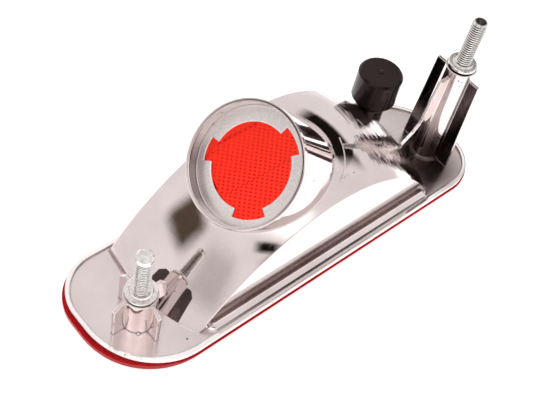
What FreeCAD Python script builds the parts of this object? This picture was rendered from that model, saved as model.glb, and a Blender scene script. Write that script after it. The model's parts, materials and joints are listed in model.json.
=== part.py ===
# Rear lamp with a bowl reflector and a tilted bulb cup, lens down, studs up.
# Millimetres. X runs along the lamp, Y across it, Z up; the lens front lies on Z = 0.
import FreeCAD, Part
import math
import os
import Sketcher

doc = FreeCAD.newDocument("lamp")
sheet = doc.addObject("Spreadsheet::Sheet", "sizes")

SIZES = [
    # outline of the lens and of the housing flange
    ("flange_length", 180.6), ("flange_width", 54.0), ("corner_large", 28.5), ("corner_small", 18.7),
    ("seam_height", 3.0), ("plate_thickness", 2.0), ("rim_rise", 1.0), ("rim_width", 1.6),
    ("lens_overhang", 1.2), ("lens_front", 2.0), ("lens_wall", 3.2), ("lens_edge_round", 1.4),
    # bowl of the reflector, flattened by two side walls
    ("bowl_top", 48.8), ("crown_radius", 56.0), ("bowl_shoulder", 25.0), ("flank_radius", 105.0),
    ("bowl_offset", 9.5), ("bowl_skin", 2.1), ("near_wall", 22.0), ("far_wall", 24.0), ("wall_skin", 2.0),
    ("near_cove", 3.2), ("far_cove", 1.2), ("cove_start", -53.0), ("cove_end", 56.0),
    # bulb cup, leaning towards the short stud
    ("cup_x", -26.8), ("cup_y", 3.3), ("cup_z", 51.0), ("cup_lean", 47.0),
    ("cup_radius", 22.3), ("cup_skin", 3.6), ("cup_reach", 33.0), ("cup_end_wall", 3.0),
    ("ring_radius", 22.8), ("ring_height", 2.2), ("cup_recess_radius", 21.4), ("cup_recess_depth", 5.0),
    ("key_plate", 2.0), ("key_radius", 15.5), ("notch_radius", 18.6),
    ("side_notch_turn", 111.0), ("side_notch_width", 27.0),
    ("low_notch_turn", 222.0), ("low_notch_width", 40.0),
    ("high_notch_turn", 339.5), ("high_notch_width", 33.0),
    # stud posts with their cross fins
    ("short_inset", 17.6), ("short_y", -4.8), ("short_top", 21.2),
    ("tall_inset", 13.8), ("tall_y", -5.3), ("tall_top", 53.0),
    ("post_radius", 6.2), ("tall_foot_radius", 6.9), ("bead_radius", 7.7), ("bead_height", 0.8),
    ("fin_thickness", 1.4),
    ("short_fin_reach", 11.0), ("short_fin_step", 8.6), ("short_fin_drop", 2.6),
    ("tall_fin_reach", 10.8), ("tall_fin_foot", 12.4), ("tall_fin_drop", 3.4), ("tall_fin_far", 10.6),
    ("gusset_reach", 21.0), ("gusset_height", 19.5), ("gusset_bend", 13.6), ("gusset_bend_height", 27.5),
    ("gusset_knee", 15.8), ("gusset_knee_height", 23.9),
    # studs
    ("stud_radius", 3.0), ("stud_length", 21.1), ("stud_bevel", 0.6),
    ("collar_radius", 5.75), ("collar_height", 1.5), ("collar_step_radius", 4.3), ("collar_step", 0.7),
    ("short_shank", 11.0), ("tall_shank", 18.0), ("shank_tip_gap", 1.0),
    # breather nipple and its cap
    ("vent_inset", 30.5), ("vent_edge", 9.4), ("seat_radius", 6.2), ("seat_height", 21.2),
    ("nipple_radius", 4.2), ("nipple_top", 32.0), ("vent_bore", 2.2),
    ("cap_radius", 9.4), ("cap_top", 38.4), ("cap_height", 13.2), ("cap_neck_radius", 5.6),
    ("cap_bevel", 0.9), ("cap_bore_gap", 1.0), ("cap_draft", 0.15),
]
for row, (alias, value) in enumerate(SIZES, 1):
    sheet.set("A%d" % row, alias)
    sheet.set("B%d" % row, str(value))
    sheet.setAlias("B%d" % row, alias)
doc.recompute()


def bind(text):
    """Turns a formula on size names into one the document reads from the sheet."""
    out = text
    for name in sorted((pair[0] for pair in SIZES), key=len, reverse=True):
        out = out.replace("{%s}" % name, "sizes.%s" % name)
    return out


def number(text):
    """Works out a formula once, to place a line near its solved position."""
    return doc.getObject("sizes").evalExpression(bind(text).replace("sizes.", ""))


def new_body(name):
    body = doc.addObject("PartDesign::Body", name)
    body.Label = name
    return body


def plane_of(body, role):
    return [item for item in body.Origin.OriginFeatures if item.Role == role][0]


def new_sketch(body, name, role, base=("0", "0", "0"), lean=None):
    """A sketch on one of the body's own planes, moved (and leant about Y) by formulas."""
    sketch = body.newObject("Sketcher::SketchObject", name)
    sketch.AttachmentSupport = [(plane_of(body, role), "")]
    sketch.MapMode = "FlatFace"
    if lean:
        turned = FreeCAD.Rotation(FreeCAD.Vector(0, -1, 0), number(lean))
        sketch.AttachmentOffset = FreeCAD.Placement(FreeCAD.Vector(0, 0, 0), turned)
        sketch.setExpression("AttachmentOffset.Rotation.Angle", bind(lean))
    for axis, text in zip("xyz", base):
        sketch.setExpression("AttachmentOffset.Base." + axis, bind(text))
    return sketch


def hold(sketch, kind, refs, text):
    """Adds one driving constraint bound to a formula."""
    index = sketch.addConstraint(Sketcher.Constraint(kind, *refs, number(text)))
    sketch.setExpression("Constraints[%d]" % index, bind(text))


def put_point(sketch, edge, end, x, y):
    hold(sketch, "DistanceX", (-1, 1, edge, end), x)
    hold(sketch, "DistanceY", (-1, 1, edge, end), y)


def polygon(sketch, points):
    """A closed outline of straight edges through points given by formulas."""
    spots = [FreeCAD.Vector(number(x), number(y), 0) for x, y in points]
    first = sketch.GeometryCount
    count = len(points)
    for k in range(count):
        sketch.addGeometry(Part.LineSegment(spots[k], spots[(k + 1) % count]), False)
    for k in range(count):
        sketch.addConstraint(Sketcher.Constraint("Coincident", first + k, 2, first + (k + 1) % count, 1))
        put_point(sketch, first + k, 1, *points[k])


def ring(sketch, radius, x="0", y="0"):
    centre = FreeCAD.Vector(number(x), number(y), 0)
    edge = sketch.addGeometry(Part.Circle(centre, FreeCAD.Vector(0, 0, 1), number(radius)), False)
    hold(sketch, "Radius", (edge,), radius)
    put_point(sketch, edge, 3, x, y)


def rounded_outline(sketch, length, width, large, small):
    """A long outline; corners across from one another share a radius."""
    half_x, half_y = number(length) / 2, number(width) / 2
    corners = [(-1, -1, large), (1, -1, small), (1, 1, large), (-1, 1, small)]
    arcs, ends = [], []
    for turn, (sx, sy, text) in enumerate(corners):
        r = number(text)
        centre = FreeCAD.Vector(sx * (half_x - r), sy * (half_y - r), 0)
        start = math.radians(180 + 90 * turn)
        circle = Part.Circle(centre, FreeCAD.Vector(0, 0, 1), r)
        arcs.append(sketch.addGeometry(Part.ArcOfCircle(circle, start, start + math.pi / 2), False))
        ends.append((centre + FreeCAD.Vector(math.cos(start), math.sin(start), 0) * r,
                     centre + FreeCAD.Vector(-math.sin(start), math.cos(start), 0) * r))
    for k, (arc, (sx, sy, text)) in enumerate(zip(arcs, corners)):
        after = (k + 1) % len(arcs)
        line = sketch.addGeometry(Part.LineSegment(ends[k][1], ends[after][0]), False)
        sketch.addConstraint(Sketcher.Constraint("Tangent", arc, 2, line, 1))
        sketch.addConstraint(Sketcher.Constraint("Tangent", line, 2, arcs[after], 1))
        hold(sketch, "Radius", (arc,), text)
        sketch.addConstraint(Sketcher.Constraint("Vertical" if k % 2 else "Horizontal", line))
        kind, half = ("DistanceX", length) if k % 2 else ("DistanceY", width)
        sign = "" if k in (1, 2) else "-"
        hold(sketch, kind, (-1, 1, line, 1), "%s(%s) / 2" % (sign, half))


def bowl_profile(sketch, skin, foot):
    """Half of an upturned bowl: a round crown, a flatter flank tangent to it, and back along the axis."""
    names = ("bowl_top", "crown_radius", "flank_radius")
    top, crown, flank = ["({%s} - (%s))" % (name, skin) for name in names]
    joint = "({bowl_shoulder} * %s / {crown_radius})" % crown
    high, low, r, big = number(top), number(foot), number(crown), number(flank)
    lean = math.acos(number(joint) / r)
    out = FreeCAD.Vector(math.cos(lean), math.sin(lean), 0)
    middle = FreeCAD.Vector(0, high - r, 0)
    far_middle = middle - out * (big - r)
    low_angle = math.asin((low - far_middle.y) / big)
    normal = FreeCAD.Vector(0, 0, 1)
    side = sketch.addGeometry(Part.ArcOfCircle(Part.Circle(far_middle, normal, big), low_angle, lean), False)
    cap = sketch.addGeometry(Part.ArcOfCircle(Part.Circle(middle, normal, r), lean, math.pi / 2), False)
    rim = far_middle + FreeCAD.Vector(math.cos(low_angle), math.sin(low_angle), 0) * big
    axis = sketch.addGeometry(Part.LineSegment(FreeCAD.Vector(0, high, 0), FreeCAD.Vector(0, low, 0)), False)
    base = sketch.addGeometry(Part.LineSegment(FreeCAD.Vector(0, low, 0), rim), False)
    sketch.addConstraint(Sketcher.Constraint("Tangent", side, 2, cap, 1))
    sketch.addConstraint(Sketcher.Constraint("Coincident", cap, 2, axis, 1))
    sketch.addConstraint(Sketcher.Constraint("Coincident", axis, 2, base, 1))
    sketch.addConstraint(Sketcher.Constraint("Coincident", base, 2, side, 1))
    sketch.addConstraint(Sketcher.Constraint("Horizontal", base))
    for edge, end in ((axis, 1), (axis, 2), (cap, 3)):
        sketch.addConstraint(Sketcher.Constraint("PointOnObject", edge, end, -2))
    hold(sketch, "Radius", (cap,), crown)
    hold(sketch, "Radius", (side,), flank)
    hold(sketch, "DistanceX", (-1, 1, cap, 1), joint)
    hold(sketch, "DistanceY", (-1, 1, axis, 1), top)
    hold(sketch, "DistanceY", (-1, 1, axis, 2), foot)


def keyed_outline(sketch, hole, notch, ears):
    """A round hole with notches for the bulb holder's ears, each with its own direction and width."""
    r, far = number(hole), number(notch)
    origin, normal = FreeCAD.Vector(0, 0, 0), FreeCAD.Vector(0, 0, 1)
    stops = []
    for turn, width in ears:
        stops.append("(%s - %s / 2)" % (turn, width))
        stops.append("(%s + %s / 2)" % (turn, width))
    angles = [math.radians(number(text)) for text in stops]
    arcs, sides = [], []
    for k, low in enumerate(angles):
        after = (k + 1) % len(angles)
        high = angles[after] + (2 * math.pi if after == 0 else 0)
        radius, other = (r, far) if k % 2 else (far, r)
        circle = Part.Circle(origin, normal, radius)
        arcs.append(sketch.addGeometry(Part.ArcOfCircle(circle, low, high), False))
        out = FreeCAD.Vector(math.cos(high), math.sin(high), 0)
        sides.append(sketch.addGeometry(Part.LineSegment(out * radius, out * other), False))
    for k, (arc, side) in enumerate(zip(arcs, sides)):
        after = (k + 1) % len(arcs)
        sketch.addConstraint(Sketcher.Constraint("Coincident", arc, 3, -1, 1))
        sketch.addConstraint(Sketcher.Constraint("Coincident", arc, 2, side, 1))
        sketch.addConstraint(Sketcher.Constraint("Coincident", side, 2, arcs[after], 1))
        sketch.addConstraint(Sketcher.Constraint("PointOnObject", -1, 1, side))
        hold(sketch, "Radius", (arc,), hole if k % 2 else notch)
        inner = 1 if k % 2 else 2
        steep = abs(math.sin(angles[after])) < abs(math.cos(angles[after]))
        kind, along = ("DistanceY", "sin") if steep else ("DistanceX", "cos")
        hold(sketch, kind, (-1, 1, side, inner), "%s * %s(%s * 1deg)" % (hole, along, stops[after]))


def pad(body, sketch, name, length, both=False, reverse=False, kind="PartDesign::Pad"):
    feature = body.newObject(kind, name)
    feature.Profile = sketch
    feature.setExpression("Length", bind(length))
    feature.SideType = "Symmetric" if both else "One side"
    feature.Reversed = reverse
    return feature


def turn_round(body, sketch, name):
    """Turns a half profile right round the sketch's upright axis."""
    feature = body.newObject("PartDesign::Revolution", name)
    feature.Profile = sketch
    feature.ReferenceAxis = (sketch, ["V_Axis"])
    feature.Angle = 360
    return feature


PLATE_TOP = "({seam_height} + {plate_thickness})"
CUP_BASE = ("{cup_x}", "{cup_y}", "{cup_z}")
SHORT_X = "({short_inset} - {flange_length} / 2)"
TALL_X = "({flange_length} / 2 - {tall_inset})"
VENT_X = "({flange_length} / 2 - {vent_inset})"
VENT_Y = "({flange_width} / 2 - {vent_edge})"


def cut_sides(body, name, skin, reach="{flange_length}", deep="{bowl_top} * 2"):
    """Takes the bowl off flat beyond its near and far walls."""
    sketch = new_sketch(body, name + "_outline", "XY_Plane", ("0", "0", "-{bowl_top} / 2"))
    for sign, wall in (("-", "{near_wall}"), ("", "{far_wall}")):
        start, stop = "%s(%s - (%s))" % (sign, wall, skin), "%s({flange_length})" % sign
        polygon(sketch, [("-" + reach, start), (reach, start), (reach, stop), ("-" + reach, stop)])
    return pad(body, sketch, name, deep, reverse=True, kind="PartDesign::Pocket")


# Outside of the housing: one metallised moulding.
shell = new_body("housing_outside")
bowl = new_sketch(shell, "bowl_outline", "XZ_Plane", ("0", "0", "-{bowl_offset}"))
bowl_profile(bowl, "0", "{seam_height}")
turn_round(shell, bowl, "bowl")
cut_sides(shell, "bowl_sides", "0")

plate = new_sketch(shell, "plate_outline", "XY_Plane", ("0", "0", "{seam_height}"))
rounded_outline(plate, "{flange_length}", "{flange_width}", "{corner_large}", "{corner_small}")
pad(shell, plate, "plate", "{plate_thickness}")

edge = new_sketch(shell, "rim_outline", "XY_Plane", ("0", "0", "{seam_height}"))
rounded_outline(edge, "{flange_length}", "{flange_width}", "{corner_large}", "{corner_small}")
rounded_outline(edge, "{flange_length} - 2 * {rim_width}", "{flange_width} - 2 * {rim_width}",
                "{corner_large} - {rim_width}", "{corner_small} - {rim_width}")
pad(shell, edge, "rim", "{plate_thickness} + {rim_rise}")

# Hollow sweep at the foot of both side walls, where the wall runs out into the plate.
for side, sign in (("near", "-"), ("far", "")):
    sweep = "{%s_cove}" % side
    cove = new_sketch(shell, side + "_cove_outline", "YZ_Plane", ("0", "0", "{cove_start}"))
    wall = "%s({%s_wall})" % (sign, side)
    toe = "%s({%s_wall} + %s)" % (sign, side, sweep)
    inside = "%s({%s_wall} - {wall_skin})" % (sign, side)
    head = PLATE_TOP + " + " + sweep
    centre = FreeCAD.Vector(number(toe), number(head), 0)
    spots = [FreeCAD.Vector(number(x), number(y), 0)
             for x, y in ((wall, head), (inside, head), (inside, PLATE_TOP), (toe, PLATE_TOP))]
    for start, stop in zip(spots, spots[1:]):
        cove.addGeometry(Part.LineSegment(start, stop), False)
    angles = (math.pi * 1.5, math.pi * 2) if sign == "-" else (math.pi, math.pi * 1.5)
    arc = cove.addGeometry(Part.ArcOfCircle(
        Part.Circle(centre, FreeCAD.Vector(0, 0, 1), number(sweep)), *angles), False)
    for k in range(2):
        cove.addConstraint(Sketcher.Constraint("Coincident", k, 2, k + 1, 1))
    low_end, high_end = (1, 2) if sign == "-" else (2, 1)
    cove.addConstraint(Sketcher.Constraint("Coincident", 2, 2, arc, low_end))
    cove.addConstraint(Sketcher.Constraint("Coincident", 0, 1, arc, high_end))
    put_point(cove, 0, 1, wall, head)
    put_point(cove, 1, 1, inside, head)
    put_point(cove, 2, 1, inside, PLATE_TOP)
    put_point(cove, 2, 2, toe, PLATE_TOP)
    hold(cove, "Radius", (arc,), sweep)
    pad(shell, cove, side + "_cove", "{cove_end} - {cove_start}")
    for end in ("start", "end"):
        name = "%s_cove_%s" % (side, end)
        flare = new_sketch(shell, name + "_outline", "XZ_Plane", ("{cove_%s}" % end, "0", "-(%s)" % wall))
        foot, top = number(PLATE_TOP), number(head)
        size_now = number(sweep)
        spots = [FreeCAD.Vector(0, top, 0), FreeCAD.Vector(0, foot, 0), FreeCAD.Vector(size_now, foot, 0)]
        for start, stop in zip(spots, spots[1:]):
            flare.addGeometry(Part.LineSegment(start, stop), False)
        bend = Part.Circle(FreeCAD.Vector(size_now, top, 0), FreeCAD.Vector(0, 0, 1), size_now)
        flare.addGeometry(Part.ArcOfCircle(bend, math.pi, math.pi * 1.5), False)
        for first, last, second, begin in ((0, 2, 1, 1), (1, 2, 2, 2), (2, 1, 0, 1)):
            flare.addConstraint(Sketcher.Constraint("Coincident", first, last, second, begin))
        put_point(flare, 0, 1, "0", head)
        put_point(flare, 0, 2, "0", PLATE_TOP)
        put_point(flare, 1, 2, sweep, PLATE_TOP)
        hold(flare, "Radius", (2,), sweep)
        turn_round(shell, flare, name)

# Bulb cup: a leaning tube with a thicker ring round its mouth.
tube = new_sketch(shell, "cup_outline", "XY_Plane", CUP_BASE, lean="{cup_lean}")
ring(tube, "{cup_radius}")
pad(shell, tube, "cup", "{cup_reach}", reverse=True)
mouth = new_sketch(shell, "cup_ring_outline", "XY_Plane", CUP_BASE, lean="{cup_lean}")
ring(mouth, "{ring_radius}")
pad(shell, mouth, "cup_ring", "{ring_height}", reverse=True)


def fin_pair(name, role, base, outline):
    """Two fins in one plane through a post: a flat outline padded to both sides."""
    sketch = new_sketch(shell, name + "_outline", role, base)
    polygon(sketch, outline)
    pad(shell, sketch, name, "{fin_thickness}", both=True)


# Short post: a round stem with four low fins whose outer corners are cut off.
stem = new_sketch(shell, "short_post_outline", "XY_Plane", (SHORT_X, "{short_y}", "{seam_height}"))
ring(stem, "{post_radius}")
pad(shell, stem, "short_post", "{short_top} - {seam_height}")
for axis, role, base, middle in (("x", "XZ_Plane", ("0", "0", "-{short_y}"), SHORT_X),
                                 ("y", "YZ_Plane", ("0", "0", SHORT_X), "{short_y}")):
    shoulder = "{short_top} - {short_fin_drop}"
    fin_pair("short_fins_" + axis, role, base, [
        (middle + " - {short_fin_reach}", "{seam_height}"),
        (middle + " + {short_fin_reach}", "{seam_height}"),
        (middle + " + {short_fin_reach}", shoulder), (middle + " + {short_fin_step}", "{short_top}"),
        (middle + " - {short_fin_step}", "{short_top}"), (middle + " - {short_fin_reach}", shoulder)])

# Tall post: a tapering stem on a bead, with four fins; the inner fin sweeps out on to the bowl.
taper = new_sketch(shell, "tall_post_outline", "XZ_Plane", (TALL_X, "0", "-{tall_y}"))
polygon(taper, [("0", "{seam_height}"), ("{bead_radius}", "{seam_height}"),
                ("{bead_radius}", PLATE_TOP + " + {bead_height}"),
                ("{tall_foot_radius}", PLATE_TOP + " + {bead_height}"),
                ("{post_radius}", "{tall_top}"), ("0", "{tall_top}")])
turn_round(shell, taper, "tall_post")
fin_top = "{tall_top} - {tall_fin_drop}"
fin_pair("tall_fins_y", "YZ_Plane", ("0", "0", TALL_X), [
    ("{tall_y} - {tall_fin_foot}", "{seam_height}"), ("{tall_y} + {tall_fin_foot}", "{seam_height}"),
    ("{tall_y} + {tall_fin_reach}", fin_top), ("{tall_y} - {tall_fin_reach}", fin_top)])
fin_pair("tall_fins_x", "XZ_Plane", ("0", "0", "-{tall_y}"), [
    (TALL_X + " - {gusset_reach}", "{seam_height}"), (TALL_X + " + {tall_fin_far}", "{seam_height}"),
    (TALL_X + " + {tall_fin_far}", fin_top), (TALL_X + " - {tall_fin_reach}", fin_top),
    (TALL_X + " - {gusset_bend}", "{gusset_bend_height}"),
    (TALL_X + " - {gusset_knee}", "{gusset_knee_height}"),
    (TALL_X + " - {gusset_reach}", "{gusset_height}")])

# Breather: a seat on the bowl's shoulder and the nipple the cap is pushed on.
for name, radius, top in (("vent_seat", "{seat_radius}", "{seat_height}"),
                          ("vent_nipple", "{nipple_radius}", "{nipple_top}")):
    sketch = new_sketch(shell, name + "_outline", "XY_Plane", (VENT_X, VENT_Y, "{seam_height}"))
    ring(sketch, radius)
    pad(shell, sketch, name, "%s - {seam_height}" % top)
doc.recompute()

# Hollow of the housing: reflector chamber, cup, keyed bulb hole, stud bores and breather bore.
hollow = new_body("housing_inside")
inner = new_sketch(hollow, "chamber_outline", "XZ_Plane", ("0", "0", "-{bowl_offset}"))
bowl_profile(inner, "{bowl_skin}", "{seam_height} - {plate_thickness}")
turn_round(hollow, inner, "chamber")
cut_sides(hollow, "chamber_sides", "{wall_skin}")


def below_mouth(depth):
    """A point on the cup's axis, a depth below its mouth."""
    return ("{cup_x} + (%s) * sin({cup_lean} * 1deg)" % depth, "{cup_y}",
            "{cup_z} - (%s) * cos({cup_lean} * 1deg)" % depth)


def cup_cut(name, depth, length, radius):
    """A hollow along the cup's axis, from a depth below its mouth."""
    sketch = new_sketch(hollow, name + "_outline", "XY_Plane", below_mouth(depth), lean="{cup_lean}")
    ring(sketch, radius)
    pad(hollow, sketch, name, length, reverse=True)


below_plate = "{cup_recess_depth} + {key_plate}"
cup_cut("cup_recess", "-{ring_height}", below_plate + " + {ring_height}", "{cup_recess_radius}")
cup_bore_length = "{cup_reach} - {cup_end_wall} - (%s)" % below_plate
cup_cut("cup_bore", below_plate, cup_bore_length, "{cup_radius} - {cup_skin}")

for name, x, y, top, deep in (("short", SHORT_X, "{short_y}", "{short_top}", "{short_shank}"),
                              ("tall", TALL_X, "{tall_y}", "{tall_top}", "{tall_shank}")):
    sketch = new_sketch(hollow, name + "_bore_outline", "XY_Plane", (x, y, top + " + {collar_height}"))
    ring(sketch, "{stud_radius}")
    pad(hollow, sketch, name + "_bore", "%s + {shank_tip_gap} + {collar_height}" % deep, reverse=True)
sketch = new_sketch(hollow, "vent_bore_outline", "XY_Plane", (VENT_X, VENT_Y, "0"))
ring(sketch, "{vent_bore}")
pad(hollow, sketch, "vent_bore_cut", "{cap_top}")
doc.recompute()

# Floor of the cup: the collar under its ring and the plate with the keyed bulb hole.
seat = new_body("cup_floor")
outer_ring = new_sketch(seat, "cup_collar_outline", "XY_Plane", CUP_BASE, lean="{cup_lean}")
ring(outer_ring, "{cup_radius}")
ring(outer_ring, "{cup_recess_radius}")
pad(seat, outer_ring, "cup_collar", below_plate, reverse=True)
plate_face = below_mouth("{cup_recess_depth}")
floor = new_sketch(seat, "key_plate_outline", "XY_Plane", plate_face, lean="{cup_lean}")
ring(floor, "{cup_radius}")
keyed_outline(floor, "{key_radius}", "{notch_radius}",
              [("{%s_notch_turn}" % ear, "{%s_notch_width}" % ear) for ear in ("side", "low", "high")])
pad(seat, floor, "key_plate_pad", "{key_plate}", reverse=True)
doc.recompute()

hollowed = doc.addObject("Part::Cut", "housing_hollowed")
hollowed.Base = shell
hollowed.Tool = hollow
housing = doc.addObject("Part::Fuse", "housing")
housing.Label = "housing"
housing.Base = hollowed
housing.Tool = seat
housing.Refine = True

# Lens: a shallow red tray with rounded front edges, standing out a little past the flange at both ends.
lens = new_body("lens")
front = new_sketch(lens, "lens_outline", "XY_Plane")
rounded_outline(front, "{flange_length} + 2 * {lens_overhang}", "{flange_width}",
                "{corner_large}", "{corner_small}")
slab = pad(lens, front, "lens_slab", "{seam_height}")
doc.recompute()
outer_edges = ["Edge%d" % (k + 1) for k, e in enumerate(slab.Shape.Edges) if e.BoundBox.ZMax < 0.001]
soft = lens.newObject("PartDesign::Fillet", "lens_front_round")
soft.Base = (slab, outer_edges)
soft.setExpression("Radius", bind("{lens_edge_round}"))
well = new_sketch(lens, "lens_well_outline", "XY_Plane", ("0", "0", "{seam_height}"))
rounded_outline(well, "{flange_length} - 2 * {lens_wall}", "{flange_width} - 2 * {lens_wall}",
                "{corner_large} - {lens_wall}", "{corner_small} - {lens_wall}")
pad(lens, well, "lens_well", "{seam_height} - {lens_front}", kind="PartDesign::Pocket")

# Studs: threaded rods with a pressed collar and a plain shank screwed into the post.
studs = []
for name, x, y, top, shank in (("stud_short", SHORT_X, "{short_y}", "{short_top}", "{short_shank}"),
                               ("stud_tall", TALL_X, "{tall_y}", "{tall_top}", "{tall_shank}")):
    stud = new_body(name)
    half = new_sketch(stud, name + "_outline", "XZ_Plane")
    collar = "{collar_height}"
    step = "({collar_height} + {collar_step})"
    tip = "({collar_height} + {stud_length})"
    polygon(half, [("0", "-" + shank), ("{stud_radius} - {stud_bevel}", "-" + shank),
                   ("{stud_radius}", "-%s + {stud_bevel}" % shank), ("{stud_radius}", "0"),
                   ("{collar_radius}", "0"), ("{collar_radius}", collar), ("{collar_step_radius}", collar),
                   ("{collar_step_radius}", step), ("{stud_radius}", step),
                   ("{stud_radius}", tip + " - {stud_bevel}"),
                   ("{stud_radius} - {stud_bevel}", tip), ("0", tip)])
    turn_round(stud, half, name + "_turned")
    for axis, text in zip("xyz", (x, y, top)):
        stud.setExpression("Placement.Base." + axis, bind(text))
    studs.append(stud)

# Breather cap: a black rubber cap with a narrower neck, open below.
cap = new_body("vent_cap")
half = new_sketch(cap, "vent_cap_outline", "XZ_Plane")
neck, under = "{seat_height}", "({cap_top} - {cap_height})"
polygon(half, [("{nipple_radius}", neck), ("{cap_neck_radius}", neck), ("{cap_neck_radius}", under),
               ("{cap_radius}", under), ("{cap_radius} - {cap_draft}", "{cap_top} - {cap_bevel}"),
               ("{cap_radius} - {cap_draft} - {cap_bevel}", "{cap_top}"), ("0", "{cap_top}"),
               ("0", "{nipple_top} + {cap_bore_gap}"), ("{nipple_radius}", "{nipple_top} + {cap_bore_gap}")])
turn_round(cap, half, "vent_cap_turned")
for axis, text in zip("xy", (VENT_X, VENT_Y)):
    cap.setExpression("Placement.Base." + axis, bind(text))

doc.recompute()
os.makedirs("parts", exist_ok=True)
for item in doc.Objects:
    if "Invalid" in item.State or "Error" in item.State:
        raise RuntimeError("not built: " + item.Name)
for piece in [housing, lens] + studs + [cap]:
    shape = piece.Shape
    if shape.isNull() or not shape.isValid() or len(shape.Solids) != 1:
        raise RuntimeError("not one sound solid: " + piece.Label)
    shape.exportStep("parts/%s.step" % piece.Label)
    print(piece.Label, round(shape.Volume / 1000, 2), "cm3", shape.BoundBox)
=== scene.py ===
import bpy
import json
import math
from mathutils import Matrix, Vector
from mathutils.geometry import convex_hull_2d


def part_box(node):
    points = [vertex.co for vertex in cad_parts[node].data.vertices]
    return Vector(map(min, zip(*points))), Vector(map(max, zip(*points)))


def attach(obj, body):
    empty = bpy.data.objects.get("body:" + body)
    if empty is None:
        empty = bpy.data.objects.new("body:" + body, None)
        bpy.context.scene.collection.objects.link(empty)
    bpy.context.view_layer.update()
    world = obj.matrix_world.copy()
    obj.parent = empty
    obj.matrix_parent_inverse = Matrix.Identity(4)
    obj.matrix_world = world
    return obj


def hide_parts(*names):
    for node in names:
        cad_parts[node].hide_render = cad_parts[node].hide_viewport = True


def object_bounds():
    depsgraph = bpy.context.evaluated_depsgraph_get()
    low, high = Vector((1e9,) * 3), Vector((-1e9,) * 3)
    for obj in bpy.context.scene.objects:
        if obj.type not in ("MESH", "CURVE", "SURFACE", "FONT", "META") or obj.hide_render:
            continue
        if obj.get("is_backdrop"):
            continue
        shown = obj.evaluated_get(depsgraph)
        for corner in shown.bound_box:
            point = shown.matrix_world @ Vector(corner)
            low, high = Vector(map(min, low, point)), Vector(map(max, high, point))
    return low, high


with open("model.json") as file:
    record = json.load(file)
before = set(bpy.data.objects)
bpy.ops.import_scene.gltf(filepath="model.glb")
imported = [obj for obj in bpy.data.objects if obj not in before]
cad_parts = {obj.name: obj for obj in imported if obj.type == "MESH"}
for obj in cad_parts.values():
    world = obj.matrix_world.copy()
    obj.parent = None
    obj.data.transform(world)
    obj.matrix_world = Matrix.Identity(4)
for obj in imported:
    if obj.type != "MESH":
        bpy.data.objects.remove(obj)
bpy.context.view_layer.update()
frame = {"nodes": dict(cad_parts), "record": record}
MM = 0.001

# Housing: one plastic moulding, metallised mirror bright in a vacuum and lacquered.
# Its flange is welded on the lens; the plate in the cup keeps the fine grain of the mould.
# Shade is painted dark on the fin faces towards the bowl, on the seat under the breather cap, in
# the crevices and around two pockets.
housing = frame["nodes"]["housing"]
mounts = {mount["name"]: mount for mount in frame["record"]["mounts"]}
WHITE = (1, 1, 1, 1)
SKIN_DARK = (0.66, 0.575, 0.565, 1)
SKIN_LIGHT = (0.76, 0.675, 0.665, 1)
PLATE_DARK = (0.86, 0.79, 0.775, 1)
PLATE_LIGHT = (1.0, 0.95, 0.94, 1)
# Painted shade: the dark finish of the fin faces towards the bowl and of the seat under the cap.
PAINTED_SHADE_DARK = (0.07, 0.06, 0.058, 1)
PAINTED_SHADE_LIGHT = (0.16, 0.135, 0.13, 1)
INSIDE_DARK = (0.92, 0.88, 0.87, 1)
INSIDE_LIGHT = (0.99, 0.96, 0.95, 1)
CLOUD_RANGE = (0.35, 0.65)
CLOUD_DETAIL = 4.0
# Painted shade in the crevices, from ambient occlusion.
CREVICE_SHADE = (0.42, 0.38, 0.37, 1)
CREVICE_REACH = 1.2 * MM
CREVICE_RANGE = (0.30, 0.80)
CREVICE_SAMPLES = 8
EDGE_ROUND = 0.8 * MM
EDGE_SAMPLES = 6
# Painted shade around two pockets: by the tall post's foot and in the cup's recess.
POCKET_SHADE = (0.24, 0.21, 0.205, 1)
POST_POCKET = (69 * MM, -14 * MM, 8 * MM)
CUP_POCKET = (-36.9 * MM, 15.6 * MM, 36.5 * MM)
POCKET_REACH = (7 * MM, 17 * MM)
SPECK = (0.22, 0.18, 0.17, 1)
SPECK_PITCH = 8.0 * MM
SPECK_EDGE = (0.035, 0.060)
WIPE_TURN = (0.2, 0.3, 0.6)
WIPE_SCALE = (30.0, 900.0, 500.0)
WIPE_RANGE = (0.55, 0.8)
WIPE_HAZE = 0.07
FINE_DETAIL = 2.0
RIPPLE_SIZE = (1.0 * MM, 7.0 * MM, 7.0 * MM)
RIPPLE_HEIGHT = 0.24 * MM
RIPPLE_DETAIL = 1.0
RIPPLE_START = (20 * MM, 28 * MM)
RIPPLE_END = (56 * MM, 60 * MM)
RIPPLE_FOOT = (8 * MM, 12 * MM)
RIPPLE_SIDE = (-21 * MM, -16 * MM)


def feed(tree, made, **inputs):
    """Fills inputs of a shader node; each is a plain value or the socket it comes from."""
    for name, value in inputs.items():
        socket = made.inputs[name.replace("_", " ")]
        if isinstance(value, bpy.types.NodeSocket):
            tree.links.new(value, socket)
        else:
            socket.default_value = value


def node(tree, kind, **inputs):
    """Adds a shader node and fills its inputs."""
    made = tree.nodes.new("ShaderNode" + kind)
    feed(tree, made, **inputs)
    return made


def new_material(name):
    """A material with its tree, its surface shader and the place of the point in the lamp."""
    made = bpy.data.materials.new(name)
    made.use_nodes = True
    tree = made.node_tree
    return made, tree, tree.nodes["Principled BSDF"], node(tree, "TexCoord").outputs["Object"]


def noise(tree, place, scale, detail):
    """A cloudy value from 0 to 1."""
    return node(tree, "TexNoise", Vector=place, Scale=scale, Detail=detail).outputs["Fac"]


def ramp(tree, factor, low, high, low_color, high_color):
    """A colour that runs from one to another between two values of the factor."""
    made = node(tree, "ValToRGB", Fac=factor)
    ends = zip(made.color_ramp.elements, (low, high), (low_color, high_color))
    for stop, position, color in ends:
        stop.position = position
        stop.color = color
    return made.outputs["Color"]


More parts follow.
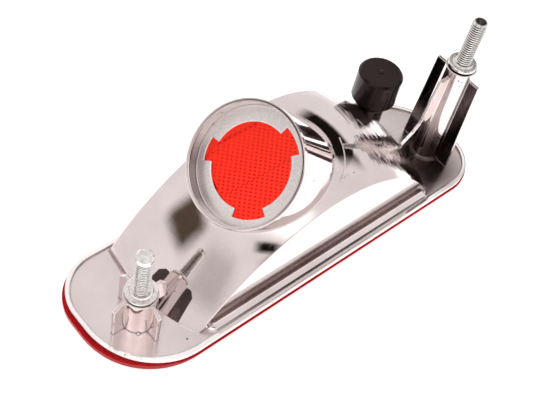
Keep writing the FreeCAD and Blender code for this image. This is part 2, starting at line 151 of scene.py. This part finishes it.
def spread(tree, value, low, high, to_low, to_high):
    """A value stretched from one range to another."""
    made = node(tree, "MapRange", Value=value, From_Min=low, From_Max=high,
                To_Min=to_low, To_Max=to_high)
    return made.outputs["Result"]


def calc(tree, operation, *values):
    """The result of one sum on plain values or sockets."""
    made = node(tree, "Math")
    made.operation = operation
    for value, socket in zip(values, made.inputs):
        if isinstance(value, bpy.types.NodeSocket):
            tree.links.new(value, socket)
        else:
            socket.default_value = value
    return made.outputs["Value"]


def distance(tree, place, point):
    """How far a place lies from a point."""
    made = node(tree, "VectorMath", Vector=place)
    made.operation = "DISTANCE"
    made.inputs[1].default_value = point
    return made.outputs["Value"]


def layer(tree, below, above):
    """The product of two colours."""
    made = node(tree, "Mix", Factor=1.0)
    made.data_type = "RGBA"
    made.blend_type = "MULTIPLY"
    tree.links.new(below, made.inputs["A"])
    tree.links.new(above, made.inputs["B"])
    return made.outputs["Result"]


def metal_skin(name, cloud_size, grain_size, grain_height, roughness, dark, light, pocket):
    """Metallised plastic: cloudy tint, specks, painted shade in crevices and around a pocket, wipe
    marks, grain and rounded moulded edges.
    """
    made, tree, surface, place = new_material(name)
    clouds = noise(tree, place, 1 / (cloud_size * MM), CLOUD_DETAIL)
    # Painted shade: crevices darkened by ambient occlusion.
    crevice = node(tree, "AmbientOcclusion", Distance=CREVICE_REACH)
    crevice.samples = CREVICE_SAMPLES
    open_sky = ramp(tree, crevice.outputs["AO"], *CREVICE_RANGE, CREVICE_SHADE, WHITE)
    from_speck = node(tree, "TexVoronoi", Vector=place, Scale=1 / SPECK_PITCH)
    clear = ramp(tree, from_speck.outputs["Distance"], *SPECK_EDGE, SPECK, WHITE)
    # Painted shade: the tint darkens towards the pocket.
    out_of_pocket = spread(tree, distance(tree, place, pocket), *POCKET_REACH, 0.0, 1.0)
    painted_pocket_shade = ramp(tree, out_of_pocket, 0.0, 1.0, POCKET_SHADE, WHITE)
    specks_and_painted_shade = layer(tree, open_sky, layer(tree, clear, painted_pocket_shade))
    tint = layer(tree, ramp(tree, clouds, *CLOUD_RANGE, dark, light), specks_and_painted_shade)

    wiped = node(tree, "Mapping", Vector=place, Rotation=WIPE_TURN, Scale=WIPE_SCALE)
    marks = noise(tree, wiped.outputs["Vector"], 1.0, FINE_DETAIL)
    haze = spread(tree, marks, *WIPE_RANGE, roughness, roughness + WIPE_HAZE)

    round_edge = node(tree, "Bevel", Radius=EDGE_ROUND)
    round_edge.samples = EDGE_SAMPLES
    grain = node(tree, "Bump", Strength=1.0, Distance=grain_height * MM,
                 Height=noise(tree, place, 1 / (grain_size * MM), FINE_DETAIL),
                 Normal=round_edge.outputs["Normal"])
    combed = node(tree, "Mapping", Vector=place, Scale=[1 / size for size in RIPPLE_SIZE])
    ripples = noise(tree, combed.outputs["Vector"], 1.0, RIPPLE_DETAIL)
    spot = node(tree, "SeparateXYZ", Vector=place).outputs
    for side, edge, before, after in (("X", RIPPLE_START, 0.0, 1.0), ("X", RIPPLE_END, 1.0, 0.0),
                                      ("Z", RIPPLE_FOOT, 0.0, 1.0), ("Y", RIPPLE_SIDE, 0.0, 1.0)):
        ripples = calc(tree, "MULTIPLY", ripples, spread(tree, spot[side], *edge, before, after))
    rippled = node(tree, "Bump", Strength=1.0, Distance=RIPPLE_HEIGHT, Height=ripples,
                   Normal=grain.outputs["Normal"])
    feed(tree, surface, Base_Color=tint, Roughness=haze, Metallic=1.0,
         Normal=rippled.outputs["Normal"])
    return made


# Each finish: name, sizes of the clouds and the grain and height of the grain in mm, roughness,
# dark and light tint, and the pocket around which shade is painted.
FINISHES = (
    ("metallised_skin", 22.0, 9.0, 0.012, 0.04, SKIN_DARK, SKIN_LIGHT, POST_POCKET),
    ("grained_plate", 0.7, 0.6, 0.018, 0.34, PLATE_DARK, PLATE_LIGHT, POST_POCKET),
    # painted shade on the fin faces towards the bowl and the seat under the cap
    ("painted_shade_faces", 22.0, 6.0, 0.012, 0.10, PAINTED_SHADE_DARK, PAINTED_SHADE_LIGHT, POST_POCKET),
    ("hazy_inside", 22.0, 3.0, 0.004, 0.06, INSIDE_DARK, INSIDE_LIGHT, POST_POCKET),
    ("satin_flange", 22.0, 2.0, 0.006, 0.22, SKIN_DARK, SKIN_LIGHT, POST_POCKET),
    # painted shade in the cup's recess, around its pocket
    ("recess_wall", 22.0, 2.0, 0.006, 0.10, SKIN_DARK, SKIN_LIGHT, CUP_POCKET),
)
SKIN, PLATE, SHADED, INSIDE, FLANGE, WALL = range(len(FINISHES))
SHARP_ANGLE = 25
FLANGE_TOP = 5.0 * MM
RIM_TOP = 6.0 * MM
CHAMBER_MIDDLE = Vector((9.5 * MM, 0, 3 * MM))
CHAMBER_HALF_LENGTH = 70 * MM
CHAMBER_HALF_WIDTH = 22.05 * MM
CUP_BORE = 19 * MM
CUP_REACH = 20 * MM
CUP_FOOT = 25 * MM
SEAT_RADIUS = 6.3 * MM
SEAT_FOOT = 8.0 * MM
FIN_FOOT = 6.0 * MM
FIN_HALF = 0.9 * MM
POST_RADIUS = 6.0 * MM
SQUARE_ON = 0.95
NEAR_LEVEL = 0.05 * MM
NEAR_PLATE = 0.1 * MM
NEAR_WALL = 0.3 * MM
cup_axis = Vector(mounts["bulb_cup"]["axis"])
cup_middle = Vector(mounts["bulb_cup"]["pos_m"])
cup_radius = mounts["bulb_cup"]["dims"]["r_mm"] * MM
plate_depth = mounts["bulb_cup"]["dims"]["length_mm"] * MM / 2
vent_middle = (Vector(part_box("vent_cap")[0]) + Vector(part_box("vent_cap")[1])) / 2
posts = [Vector(mounts[name]["pos_m"]) for name in ("stud_short", "stud_tall")]

housing.data.materials.clear()
for finish in FINISHES:
    housing.data.materials.append(metal_skin(*finish))
housing.data.set_sharp_from_angle(angle=math.radians(SHARP_ANGLE))
for face in housing.data.polygons:
    spot = face.center
    below = -(spot - cup_middle).dot(cup_axis)
    off_cup_axis = (spot - cup_middle + cup_axis * below).length
    on_plate = abs(below - plate_depth) < NEAR_PLATE and off_cup_axis < cup_radius
    on_wall = abs(below) < plate_depth - NEAR_PLATE and abs(off_cup_axis - cup_radius) < NEAR_WALL
    on_fin = any(spot.z > FIN_FOOT and face.normal.x * math.copysign(1, post.x) < -SQUARE_ON
                 and abs(spot.x - post.x) < FIN_HALF and abs(spot.y - post.y) > POST_RADIUS
                 for post in posts)
    from_vent = math.hypot(spot.x - vent_middle.x, spot.y - vent_middle.y)
    on_seat = from_vent < SEAT_RADIUS and spot.z > SEAT_FOOT
    in_chamber = (abs(spot.x) < CHAMBER_HALF_LENGTH and abs(spot.y) < CHAMBER_HALF_WIDTH
                  and face.normal.dot(spot - CHAMBER_MIDDLE) < 0)
    in_cup_bore = below > plate_depth + NEAR_PLATE and off_cup_axis < CUP_BORE
    outside_cup = below < CUP_REACH and off_cup_axis > CUP_BORE and spot.z > CUP_FOOT
    is_inside = in_cup_bore or in_chamber and not outside_cup and below > plate_depth
    looks_up = face.normal.z > SQUARE_ON
    on_flange = looks_up and abs(spot.z - FLANGE_TOP) < NEAR_LEVEL
    on_rim = looks_up and abs(spot.z - RIM_TOP) < NEAR_LEVEL
    # Painted shade: fin faces towards the bowl and the seat under the breather cap get the dark
    # finish.
    face.material_index = (PLATE if on_plate else WALL if on_wall else SHADED if on_fin or on_seat
                           else INSIDE if is_inside or on_rim else FLANGE if on_flange else SKIN)

# Marks of the mould on the housing: small round stubs at the feet of the two posts.
# They are part of the moulding, so they are metallised with it.
# Each is given by its name, its place along and across the lamp and its radius, in mm.
STUBS = (("stub_short", -76.2, -9.9, 0.85), ("stub_tall_left", 67.9, -5.4, 0.5),
         ("stub_tall_right", 75.9, -12.0, 0.5))
STUB_FLATTENED = 0.8


def round_stub(name, place, radius, flattened, finish):
    """A small ball, flattened in height."""
    bpy.ops.mesh.primitive_uv_sphere_add(segments=24, ring_count=12, radius=radius, location=place)
    made = bpy.context.object
    made.name = name
    made.scale.z = flattened
    bpy.ops.object.shade_smooth()
    made.data.materials.append(finish)
    return made


for name, x, y, radius in STUBS:
    stub = round_stub(name, (x * MM, y * MM, FLANGE_TOP), radius * MM, STUB_FLATTENED,
                      housing.data.materials[SKIN])
    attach(stub, "root")

# Turning arrow on the housing: a low raised line beside the cup.
# It shows which way the bulb holder turns; it is moulded with the bowl and metallised with it.
ARROW_LEVEL = 32 * MM
ARROW_RADIUS = 22 * MM
ARROW_FROM, ARROW_TO = -64, -16
ARROW_STEPS = 24
ARROW_HEAD = 4.5 * MM
ARROW_LINE = 0.35 * MM
ARROW_SINK = 0.12 * MM
ABOVE_LAMP = 100 * MM
arrow_middle = cup_middle - cup_axis * (cup_middle.z - ARROW_LEVEL) / cup_axis.z


def round_bead(name, lines, radius, closed, finish):
    """A round bead of one thickness along each of the lines."""
    run = bpy.data.curves.new(name + "_run", "CURVE")
    run.dimensions = "3D"
    run.bevel_depth = radius
    run.bevel_resolution = 2
    run.use_fill_caps = not closed
    for line in lines:
        spline = run.splines.new("POLY")
        spline.points.add(len(line) - 1)
        for spot, point in zip(spline.points, line):
            spot.co = (*point, 1)
        spline.use_cyclic_u = closed
    carrier = bpy.data.objects.new(name + "_run", run)
    bead = bpy.data.objects.new(name, bpy.data.meshes.new_from_object(carrier))
    bpy.data.objects.remove(carrier)
    bpy.context.scene.collection.objects.link(bead)
    bead.data.materials.clear()
    bead.data.materials.append(finish)
    bead.data.shade_smooth()
    return bead


def on_arc(angle, radius):
    """The point of the bowl's skin at an angle and a radius around the cup, sunk a little."""
    turn = math.radians(angle)
    above = Vector((arrow_middle.x + radius * math.cos(turn),
                    arrow_middle.y + radius * math.sin(turn), ABOVE_LAMP))
    point, normal = housing.ray_cast(above, Vector((0, 0, -1)))[1:3]
    return point - normal * ARROW_SINK


head = math.degrees(ARROW_HEAD / ARROW_RADIUS)
arc = [on_arc(ARROW_FROM + (ARROW_TO - ARROW_FROM) * k / ARROW_STEPS, ARROW_RADIUS)
       for k in range(ARROW_STEPS + 1)]
barbs = [on_arc(ARROW_FROM + head, ARROW_RADIUS + side * ARROW_HEAD / 2) for side in (-1, 1)]
arrow = round_bead("turning_arrow", [arc, [barbs[0], arc[0], barbs[1]]], ARROW_LINE, False,
                   housing.data.materials[SKIN])
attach(arrow, "root")

# Lens: clear red plastic, moulded in one shallow tray and welded under the flange.
# Its inside carries a fine pattern of round pillows that spreads the light.
lens = frame["nodes"]["lens"]
LENS_FLOOR = 2.5 * MM
LENS_FACING = 0.9
PILLOW_PITCH = 2.8 * MM
PILLOW_EDGE = (0.10, 0.30)
PILLOW_TINT = (0.2, 0.9)
PILLOW_HEIGHT = 0.15 * MM
PILLOW_STRENGTH = 0.35
RED_BRIGHT = (1.0, 0.050, 0.026, 1)
RED_SOFT = (0.94, 0.042, 0.022, 1)
RED_DOT = (0.40, 0.002, 0.006, 1)
RED_EDGE = (0.44, 0.0, 0.003, 1)
RED_EDGE_LIGHT = (0.54, 0.0, 0.005, 1)
STREAK_SCALE = 60.0
STREAK_RANGE = (0.3, 0.7)
PLASTIC_IOR = 1.49
CLEAR = 0.97
EDGE_CLEAR = 0.10
EDGE_SHINE = 0.1


def red_plastic(name, roughness, transmission):
    """Clear red plastic; its colour is set by the piece of the lens that it is on."""
    made, tree, surface, place = new_material(name)
    feed(tree, surface, Roughness=roughness, IOR=PLASTIC_IOR, Transmission_Weight=transmission)
    return made, tree, surface, place


pillowed, tree, surface, place = red_plastic("pillowed_red", 0.12, CLEAR)
pillows = []
for shift in ((0.0, 0.0, 0.0), (0.5, 0.5, 0.0)):
    rows = node(tree, "Mapping", Vector=place, Location=shift,
                Scale=[1 / PILLOW_PITCH] * 2 + [0.0])
    cell = node(tree, "VectorMath", Vector=rows.outputs["Vector"])
    cell.operation = "FRACTION"
    from_middle = distance(tree, cell.outputs["Vector"], (0.5, 0.5, 0.0))
    pillows.append(spread(tree, from_middle, *PILLOW_EDGE, 1.0, 0.0))
pillow = calc(tree, "MAXIMUM", *pillows)
bump = node(tree, "Bump", Strength=PILLOW_STRENGTH, Distance=PILLOW_HEIGHT, Height=pillow)
feed(tree, surface, Base_Color=ramp(tree, pillow, *PILLOW_TINT, RED_BRIGHT, RED_DOT),
     Normal=bump.outputs["Normal"])

smooth, tree, surface, place = red_plastic("smooth_red", 0.08, CLEAR)
streaks = noise(tree, place, STREAK_SCALE, FINE_DETAIL)
feed(tree, surface, Base_Color=ramp(tree, streaks, *STREAK_RANGE, RED_BRIGHT, RED_SOFT))

deep, tree, surface, place = red_plastic("deep_red_edge", 0.20, EDGE_CLEAR)
streaks = noise(tree, place, STREAK_SCALE, FINE_DETAIL)
feed(tree, surface, Base_Color=ramp(tree, streaks, *STREAK_RANGE, RED_EDGE, RED_EDGE_LIGHT),
     Specular_IOR_Level=EDGE_SHINE)

lens.data.materials.clear()
for finish in (pillowed, smooth, deep):
    lens.data.materials.append(finish)
for face in lens.data.polygons:
    inside = face.normal.z > LENS_FACING and face.center.z < LENS_FLOOR
    face.material_index = 0 if inside else 1 if face.normal.z < -LENS_FACING else 2

# Lip of the lens: a thin round bead of the same red plastic, all round under the flange.
# It is pressed out where the lens and the housing were melted together.
LIP_RADIUS = 0.5 * MM
LIP_DROP = 0.4 * MM
NEAR_SEAM = 0.01 * MM
lens_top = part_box("lens")[1][2]
rim = [vertex.co for vertex in housing.data.vertices if abs(lens_top - vertex.co.z) < NEAR_SEAM]
outline = [rim[k] for k in convex_hull_2d([(point.x, point.y) for point in rim])]
lip_line = [(point.x, point.y, lens_top - LIP_DROP) for point in outline]
lip = round_bead("lens_lip", [lip_line], LIP_RADIUS, True, deep)
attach(lip, "root")

# Studs: steel rods with a rolled M6 thread and a pressed collar in two steps, bright zinc plated.
# Each is screwed into its post; the tall one has a hollow in its tip.
# Shade is painted dark in the roots of the thread and in the tall stud's hollow.
THREAD_PITCH = 1.0 * MM
THREAD_DEPTH = 0.6 * MM
THREAD_CHAMFER = 0.8 * MM
THREAD_SLOPE = 2.6
THREAD_CREST = 0.15
THREAD_ROOT = 0.42
COLLAR_HEIGHT = 1.5 * MM
COLLAR_STEP_HEIGHT = 0.7 * MM
COLLAR_STEP_RADIUS = 4.3 * MM
COLLAR_BEVEL = 0.35 * MM
STUD_PLAIN_END = {"stud_short": 2.7 * MM, "stud_tall": 0.4 * MM}
STUD_TIP_HOLLOW = {"stud_short": 0.1 * MM, "stud_tall": 2.0 * MM}
TIP_INSET = 0.1 * MM
TIP_EDGE = 0.35 * MM
HOLLOW_TAPER = 0.15 * MM
HOLLOW_FLOOR = 0.45
STUD_SIDES = 48
ROWS_A_TURN = 24
STUD_SHARP_ANGLE = 40
ZINC_DARK = (0.64, 0.61, 0.59, 1)
ZINC_LIGHT = (0.86, 0.825, 0.80, 1)
ZINC_ROUGHNESS = (0.16, 0.28)
ROOT_SHADE_DARK = (0.10, 0.09, 0.085, 1)
ROOT_SHADE_LIGHT = (0.28, 0.26, 0.25, 1)
ROOT_ROUGHNESS = (0.35, 0.35)
METAL_GRAIN = 900.0
METAL_DETAIL = 3.0
METAL_TINT = (0.35, 0.7)
METAL_HAZE = (0.3, 0.7)


def plated_steel(name, dark, light, roughness):
    """Plated steel with a fine speckle in its tint and its shine."""
    made, tree, surface, place = new_material(name)
    specks = noise(tree, place, METAL_GRAIN, METAL_DETAIL)
    feed(tree, surface, Base_Color=ramp(tree, specks, *METAL_TINT, dark, light), Metallic=1.0,
         Roughness=spread(tree, specks, *METAL_HAZE, *roughness))
    return made


def even(radius, height):
    """A ring of one radius at one height."""
    return [(radius, height)] * STUD_SIDES


def turned_piece(name, rings, middle):
    """A closed skin through rings; a ring has a (radius, height) for each side."""
    points, faces = [], []
    for ring in rings:
        for side, (radius, height) in enumerate(ring):
            angle = 2 * math.pi * side / len(ring)
            points.append((middle.x + radius * math.cos(angle),
                           middle.y + radius * math.sin(angle), height))
    sides = len(rings[0])
    for k in range(len(rings) - 1):
        here, above = k * sides, (k + 1) * sides
        for side in range(sides):
            after = (side + 1) % sides
            faces.append((here + side, here + after, above + after, above + side))
    faces.append(tuple(reversed(range(sides))))
    faces.append(tuple(range((len(rings) - 1) * sides, len(rings) * sides)))
    mesh = bpy.data.meshes.new(name)
    mesh.from_pydata(points, [], faces)
    mesh.shade_smooth()
    mesh.set_sharp_from_angle(angle=math.radians(STUD_SHARP_ANGLE))
    piece = bpy.data.objects.new(name, mesh)
    bpy.context.scene.collection.objects.link(piece)
    return piece


zinc = plated_steel("zinc_plate", ZINC_DARK, ZINC_LIGHT, ZINC_ROUGHNESS)
root = plated_steel("painted_root_shade", ROOT_SHADE_DARK, ROOT_SHADE_LIGHT, ROOT_ROUGHNESS)
for name in ("stud_short", "stud_tall"):
    low, high = (Vector(corner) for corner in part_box(name))
    middle = (low + high) / 2
    collar_radius = (high.x - low.x) / 2
    rod = mounts[name]["dims"]["r_mm"] * MM
    start, top = high.z - mounts[name]["dims"]["length_mm"] * MM, high.z
    seat = start - COLLAR_STEP_HEIGHT - COLLAR_HEIGHT
    rings = [even(rod - THREAD_DEPTH, low.z), even(rod, low.z + THREAD_DEPTH), even(rod, seat),
             even(collar_radius - COLLAR_BEVEL, seat), even(collar_radius, seat + COLLAR_BEVEL),
             even(collar_radius, seat + COLLAR_HEIGHT - COLLAR_BEVEL),
             even(collar_radius - COLLAR_BEVEL, seat + COLLAR_HEIGHT),
             even(COLLAR_STEP_RADIUS, seat + COLLAR_HEIGHT),
             even(COLLAR_STEP_RADIUS - COLLAR_BEVEL, start)]
    rows = round((top - start) / THREAD_PITCH) * ROWS_A_TURN
    for row in range(rows + 1):
        height = start + (top - start) * row / rows
        chamfer = max(0.0, 1 - (top - height) / THREAD_CHAMFER)
        running = (top - STUD_PLAIN_END[name] - height) / THREAD_PITCH
        running = min(1.0, max(0.0, running))
        ring = []
        for side in range(STUD_SIDES):
            phase = (height - start) / THREAD_PITCH - side / STUD_SIDES
            groove = THREAD_SLOPE * abs(phase % 1 - 0.5) - THREAD_CREST
            groove = min(1.0, max(0.0, groove))
            ring.append((rod - THREAD_DEPTH * max(groove * running, chamfer), height))
        rings.append(ring)
    tip = rod - THREAD_DEPTH - TIP_INSET
    hollow = STUD_TIP_HOLLOW[name]
    rings += [even(tip - TIP_EDGE, top), even(tip - TIP_EDGE - HOLLOW_TAPER, top - hollow / 2),
              even(tip * HOLLOW_FLOOR, top - hollow)]
    stud = turned_piece(name + "_threaded", rings, middle)
    stud.data.materials.append(zinc)
    stud.data.materials.append(root)
    # Painted shade: faces in the thread's grooves and in the hollow get the dark root finish.
    for face in stud.data.polygons:
        off_axis = math.hypot(face.center.x - middle.x, face.center.y - middle.y)
        in_groove = (start < face.center.z < top - THREAD_CHAMFER
                     and off_axis < rod - THREAD_DEPTH * THREAD_ROOT)
        in_hollow = (hollow > THREAD_DEPTH and off_axis < tip - TIP_EDGE
                     and face.center.z > top - 2 * hollow)
        face.material_index = 1 if in_hollow or in_groove else 0
    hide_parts(name)
    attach(stud, "root")

# Breather cap: soft black rubber, moulded and pushed over the housing's nipple.
# A small stub and faint rings are left on its top by the mould.
cap = frame["nodes"]["vent_cap"]
RUBBER_DARK = (0.008, 0.0055, 0.0055, 1)
RUBBER_LIGHT = (0.013, 0.009, 0.009, 1)
RUBBER_ROUGHNESS = (0.12, 0.22)
RUBBER_SHINE = 0.30
RUBBER_SHEEN = (1.0, 0.66, 0.64, 1)
DUST_SCALE = 700.0
DUST_DETAIL = 4.0
DUST_TINT = (0.4, 0.75)
DUST_HAZE = (0.3, 0.7)
RING_SCALE = 180.0
RING_WAVER = 0.4
RING_HEIGHT = 0.02 * MM
RING_STRENGTH = 0.5
CAP_EDGE_ROUND = 0.4 * MM
CAP_STUB_RADIUS = 1.1 * MM
CAP_STUB_FLATTENED = 0.6
cap_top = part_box("vent_cap")[1][2]

rubber, tree, surface, place = new_material("black_rubber")
from_axis = node(tree, "VectorMath", Vector=place)
from_axis.operation = "SUBTRACT"
from_axis.inputs[1].default_value = vent_middle
level = node(tree, "VectorMath", Vector=from_axis.outputs["Vector"])
level.operation = "MULTIPLY"
level.inputs[1].default_value = (1.0, 1.0, 0.0)
mould_rings = node(tree, "TexWave", Vector=level.outputs["Vector"], Scale=RING_SCALE,
                   Distortion=RING_WAVER)
mould_rings.wave_type = "RINGS"
mould_rings.rings_direction = "Z"
soft_edge = node(tree, "Bevel", Radius=CAP_EDGE_ROUND)
bump = node(tree, "Bump", Strength=RING_STRENGTH, Distance=RING_HEIGHT,
            Height=mould_rings.outputs["Fac"], Normal=soft_edge.outputs["Normal"])
dust = noise(tree, place, DUST_SCALE, DUST_DETAIL)
feed(tree, surface, Base_Color=ramp(tree, dust, *DUST_TINT, RUBBER_DARK, RUBBER_LIGHT),
     Roughness=spread(tree, dust, *DUST_HAZE, *RUBBER_ROUGHNESS),
     Specular_IOR_Level=RUBBER_SHINE, Specular_Tint=RUBBER_SHEEN, Normal=bump.outputs["Normal"])
cap.data.materials.clear()
cap.data.materials.append(rubber)
stub = round_stub("cap_stub", (vent_middle.x, vent_middle.y, cap_top), CAP_STUB_RADIUS,
                  CAP_STUB_FLATTENED, rubber)
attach(stub, "root")

# Table: a matt white sheet that the lamp lies on, lens down; it is clear from below.
# To the eye and through the lens it shows as plain white, and it keeps the lamp's shadow.
# In the bright skin it shows as a pool of light in front of the lamp.
TABLE_SIZE = 6
TABLE_DROP = 0.2 * MM
TABLE_COLOR = (0.82, 0.82, 0.82, 1)
MATT = 0.9
EYE_GLOW = 0.6
POOL_MIDDLE = (0.05, -0.20, 0.0)
POOL_FADE = (0.24, 0.36)
POOL_OUTSIDE = 0.25
bpy.ops.mesh.primitive_plane_add(size=TABLE_SIZE, location=(0, 0, -TABLE_DROP))
table = bpy.context.object
table.name = "table"
white, tree, surface, place = new_material("white_table")
seen = node(tree, "LightPath").outputs
pool = spread(tree, distance(tree, place, POOL_MIDDLE), *POOL_FADE, 1.0, POOL_OUTSIDE)
mirrored = calc(tree, "MULTIPLY", seen["Is Glossy Ray"], pool)
glow = calc(tree, "MULTIPLY", seen["Is Camera Ray"], EYE_GLOW)
for way_seen in (mirrored, seen["Is Transmission Ray"]):
    glow = calc(tree, "MAXIMUM", glow, way_seen)
from_below = node(tree, "NewGeometry").outputs["Backfacing"]
feed(tree, surface, Base_Color=TABLE_COLOR, Roughness=MATT, Specular_IOR_Level=0.0,
     Emission_Color=WHITE, Emission_Strength=glow,
     Alpha=spread(tree, from_below, 0.0, 1.0, 1.0, 0.0))
table.data.materials.append(white)
table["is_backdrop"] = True

# Cards: soft-edged flags and one soft box, far off and out of view, that the bright skin mirrors.
# Each is given by its name, its finish, its distance in metres, and the stretch of compass
# and of height, in degrees, that it covers as seen from the lamp.
CARD_AWAY = 2.5
BOX_AWAY = 2.6
SOFT_FADE = 0.35
BROWN_FADE = 0.32
CRISP_FADE = 0.22
CARD_BLACK = (0.014, 0.010, 0.008, 1)
CARD_BROWN = (0.13, 0.10, 0.075, 1)
CARD_GREY = (0.76, 0.74, 0.73, 1)
BOX_WHITE = (0.8, 0.8, 0.8, 1)
BOX_GLOW = 1.4


def soft_card(name, color, glow, fade):
    """A card whose cover fades out towards its four edges."""
    made, tree, surface, place = new_material(name)
    across = node(tree, "SeparateXYZ", Vector=place.node.outputs["UV"])
    cover = []
    for side in "XY":
        off_middle = calc(tree, "SUBTRACT", across.outputs[side], 0.5)
        away = calc(tree, "ABSOLUTE", off_middle)
        cover.append(spread(tree, away, 0.5 - fade, 0.5, 1.0, 0.0))
        cover[-1].node.interpolation_type = "SMOOTHSTEP"
    feed(tree, surface, Base_Color=color, Roughness=MATT, Specular_IOR_Level=0.0,
         Emission_Color=WHITE, Emission_Strength=glow, Alpha=calc(tree, "MULTIPLY", *cover))
    return made


black = soft_card("black_card", CARD_BLACK, 0.0, SOFT_FADE)
crisp = soft_card("crisp_black_card", CARD_BLACK, 0.0, CRISP_FADE)
brown = soft_card("brown_card", CARD_BROWN, 0.0, BROWN_FADE)
grey = soft_card("grey_card", CARD_GREY, 0.0, SOFT_FADE)
soft_white = soft_card("soft_white", BOX_WHITE, BOX_GLOW, SOFT_FADE)
CARDS = (
    ("card_behind", crisp, CARD_AWAY, (-16, 38), (19, 44)),
    ("card_left", brown, CARD_AWAY, (135, 175), (23, 48)),
    ("card_low", grey, CARD_AWAY, (176, 212), (10, 48)),
    ("card_right", black, CARD_AWAY, (-38, 14), (44, 72)),
    ("card_front", black, CARD_AWAY, (-140, -58), (36, 54)),
    ("card_camera", black, CARD_AWAY, (-148, -115), (47, 54)),
    ("soft_box", soft_white, BOX_AWAY, (-212, -76), (52, 84)),
)
for name, finish, away, compass, height in CARDS:
    turn, rise = math.radians(sum(compass) / 2), math.radians(sum(height) / 2)
    half_turn = math.radians(compass[1] - compass[0]) / 2
    half_rise = math.radians(height[1] - height[0]) / 2
    way = Vector((math.cos(rise) * math.cos(turn), math.cos(rise) * math.sin(turn),
                  math.sin(rise)))
    bpy.ops.mesh.primitive_plane_add(size=1)
    card = bpy.context.object
    card.name = name
    card.scale = (2 * CARD_AWAY * math.cos(rise) * math.tan(half_turn),
                  2 * CARD_AWAY * math.tan(half_rise), 1)
    card.rotation_euler = (-way).to_track_quat("Z", "Y").to_euler()
    card.location = way * away
    card.data.materials.append(finish)
    card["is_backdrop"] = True

# Light: an even white room, as bright from every side and a little warm.
# It lights the lamp at a plain level, so that colours show about as they are written.
ROOM_COLOR = (1.0, 0.985, 0.98, 1)
ROOM_STRENGTH = 1.0
world = bpy.data.worlds.new("studio")
world.use_nodes = True
feed(world.node_tree, world.node_tree.nodes["Background"], Color=ROOM_COLOR,
     Strength=ROOM_STRENGTH)
bpy.context.scene.world = world

# Camera: above the short stud's end, looking down along the lamp.
# Its place, turn in degrees and focal length were fitted to the outline in the photograph.
CAMERA_PLACE = (-0.186087, -0.134295, 0.292639)
CAMERA_TURN = (38.36259, -9.90232, -40.69857)
CAMERA_LENS = 61.724
CAMERA_SENSOR = 36.0
lamp_camera = bpy.data.cameras.new("camera")
lamp_camera.lens = CAMERA_LENS
lamp_camera.sensor_width = CAMERA_SENSOR
camera = bpy.data.objects.new("camera", lamp_camera)
bpy.context.scene.collection.objects.link(camera)
camera.location = CAMERA_PLACE
camera.rotation_euler = [math.radians(angle) for angle in CAMERA_TURN]
bpy.context.scene.camera = camera
bpy.context.scene.view_settings.view_transform = "Standard"

low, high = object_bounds()
